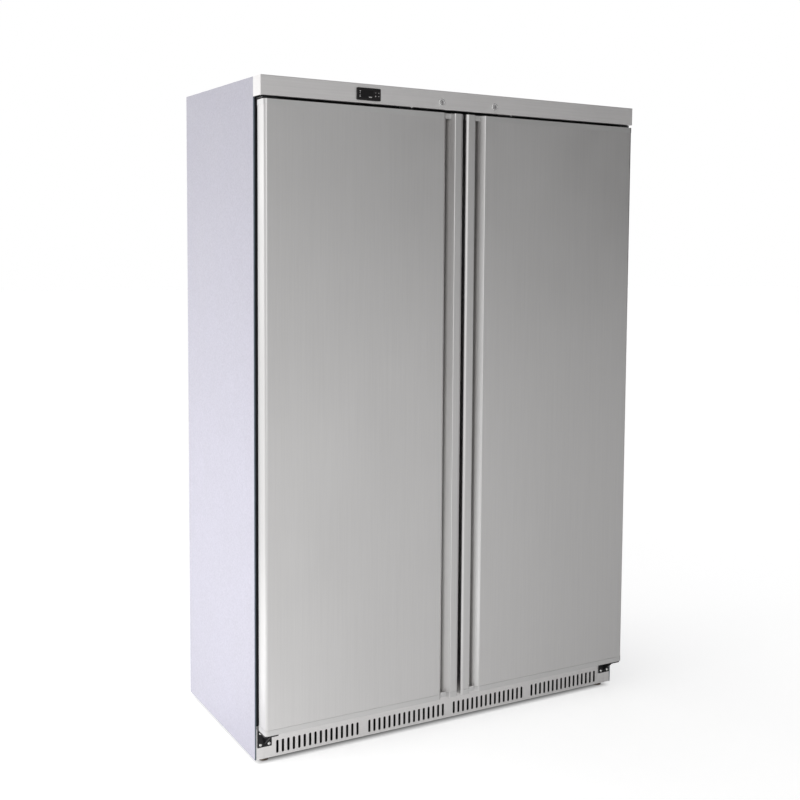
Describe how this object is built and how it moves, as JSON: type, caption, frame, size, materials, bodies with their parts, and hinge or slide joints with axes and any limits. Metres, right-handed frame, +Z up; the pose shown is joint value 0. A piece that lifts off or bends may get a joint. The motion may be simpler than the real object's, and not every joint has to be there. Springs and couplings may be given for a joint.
{
  "type": "upright freezer cabinet",
  "caption": "Upright two-door freezer cabinet with steel doors, full-height handle grooves, a control header, slotted kick grille and wire-on-tube shelves inside.",
  "frame": {"origin": "on the floor, under the middle of the cabinet's outer box", "axes": "+Z up, the doors face -Y, +X to the right as seen from the front"},
  "size_m": [1.195, 0.6686, 1.862],
  "materials": {
    "side_paint": "satin",
    "stainless": "satin",
    "galvanised": "satin",
    "foam": "matte",
    "white_moulding": "satin",
    "grey_moulding": "satin",
    "black_moulding": "satin",
    "gasket_rubber": "matte",
    "black_paint": "satin",
    "zinc": "polished",
    "bush_nylon": "satin",
    "display_glass": "gloss",
    "key_plastic": "satin",
    "copper": "satin",
    "aluminium_fin": "satin",
    "foot_plastic": "matte",
    "mount_rubber": "matte",
    "white_wire": "satin"
  },
  "bodies": {
    "cabinet": {"cabinet_screws": "zinc", "compressor": "black_paint", "compressor_mounts": "mount_rubber", "condenser": "aluminium_fin", "condenser_fan_motor": "black_paint", "controller_case": "black_moulding", "controller_window": "display_glass", "filter_drier": "copper", "floor_pan": "galvanised", "front_frame": "black_paint", "header_brackets": "galvanised", "header_panel": "stainless", "insulation": "foam", "kick_grille": "stainless", "left_base_rail": "stainless", "left_evaporator_shelves": "white_wire", "left_liner": "white_moulding", "left_lower_hinge": "black_paint", "left_side_panel": "side_paint", "left_upper_hinge": "black_paint", "lock_barrels": "zinc", "machine_tray": "galvanised", "mains_gland": "black_moulding", "rear_cover": "galvanised", "rear_panel": "galvanised", "refrigerant_pipes": "copper", "right_base_rail": "stainless", "right_evaporator_shelves": "white_wire", "right_liner": "white_moulding", "right_lower_hinge": "black_paint", "right_side_panel": "side_paint", "right_upper_hinge": "black_paint", "terminal_cover": "black_moulding", "top_panel": "galvanised"},
    "left_door": {"left_door_skin": "stainless", "left_door_core": "foam", "left_door_panel": "white_moulding", "left_door_gasket": "gasket_rubber", "left_door_bottom_cap": "grey_moulding", "left_door_top_cap": "grey_moulding", "left_door_bushes": "bush_nylon"},
    "right_door": {"right_door_skin": "stainless", "right_door_core": "foam", "right_door_panel": "white_moulding", "right_door_gasket": "gasket_rubber", "right_door_bottom_cap": "grey_moulding", "right_door_top_cap": "grey_moulding", "right_door_bushes": "bush_nylon"},
    "left_lock": {"left_lock_plug": "zinc"},
    "right_lock": {"right_lock_plug": "zinc"},
    "condenser_fan_rotor": {"condenser_fan": "aluminium_fin"},
    "set_key": {"controller_set_key": "key_plastic"},
    "up_key": {"controller_up_key": "key_plastic"},
    "defrost_key": {"controller_defrost_key": "key_plastic"},
    "down_key": {"controller_down_key": "key_plastic"},
    "left_front_foot_body": {"left_front_foot": "foot_plastic"},
    "right_front_foot_body": {"right_front_foot": "foot_plastic"},
    "left_rear_foot_body": {"left_rear_foot": "foot_plastic"},
    "right_rear_foot_body": {"right_rear_foot": "foot_plastic"}
  },
  "joints": [
    {"name": "left_door_hinge", "type": "hinge", "parent": "cabinet", "child": "left_door", "pos_m": [-0.5825, -0.3057, 0.101], "axis": [0, 0, -1], "range_deg": [0, 110]},
    {"name": "right_door_hinge", "type": "hinge", "parent": "cabinet", "child": "right_door", "pos_m": [0.5825, -0.3057, 0.101], "axis": [0, 0, 1], "range_deg": [0, 110]},
    {"name": "left_lock_turn", "type": "hinge", "parent": "cabinet", "child": "left_lock", "pos_m": [-0.071, -0.3039, 1.8295], "axis": [0, -1, 0], "range_deg": [0, 90]},
    {"name": "right_lock_turn", "type": "hinge", "parent": "cabinet", "child": "right_lock", "pos_m": [0.101, -0.3039, 1.8295], "axis": [0, 1, 0], "range_deg": [0, 90]},
    {"name": "condenser_fan_spin", "type": "hinge", "parent": "cabinet", "child": "condenser_fan_rotor", "pos_m": [-0.243, 0.2193, 0.121], "axis": [1, 0, 0], "continuous": true},
    {"name": "set_key_press", "type": "slide", "parent": "cabinet", "child": "set_key", "axis": [0, 1, 0], "range_m": [0, 0.0008], "stiffness_N_per_m": 800, "springref_m": -0.0004},
    {"name": "up_key_press", "type": "slide", "parent": "cabinet", "child": "up_key", "axis": [0, 1, 0], "range_m": [0, 0.0008], "stiffness_N_per_m": 800, "springref_m": -0.0004},
    {"name": "defrost_key_press", "type": "slide", "parent": "cabinet", "child": "defrost_key", "axis": [0, 1, 0], "range_m": [0, 0.0008], "stiffness_N_per_m": 800, "springref_m": -0.0004},
    {"name": "down_key_press", "type": "slide", "parent": "cabinet", "child": "down_key", "axis": [0, 1, 0], "range_m": [0, 0.0008], "stiffness_N_per_m": 800, "springref_m": -0.0004},
    {"name": "left_front_foot_turn", "type": "hinge", "parent": "cabinet", "child": "left_front_foot_body", "pos_m": [-0.5635, -0.2397, 0], "axis": [0, 0, 1], "continuous": true},
    {"name": "right_front_foot_turn", "type": "hinge", "parent": "cabinet", "child": "right_front_foot_body", "pos_m": [0.5635, -0.2397, 0], "axis": [0, 0, 1], "continuous": true},
    {"name": "left_rear_foot_turn", "type": "hinge", "parent": "cabinet", "child": "left_rear_foot_body", "pos_m": [-0.5635, 0.1123, 0], "axis": [0, 0, 1], "continuous": true},
    {"name": "right_rear_foot_turn", "type": "hinge", "parent": "cabinet", "child": "right_rear_foot_body", "pos_m": [0.5635, 0.1123, 0], "axis": [0, 0, 1], "continuous": true}
  ]
}
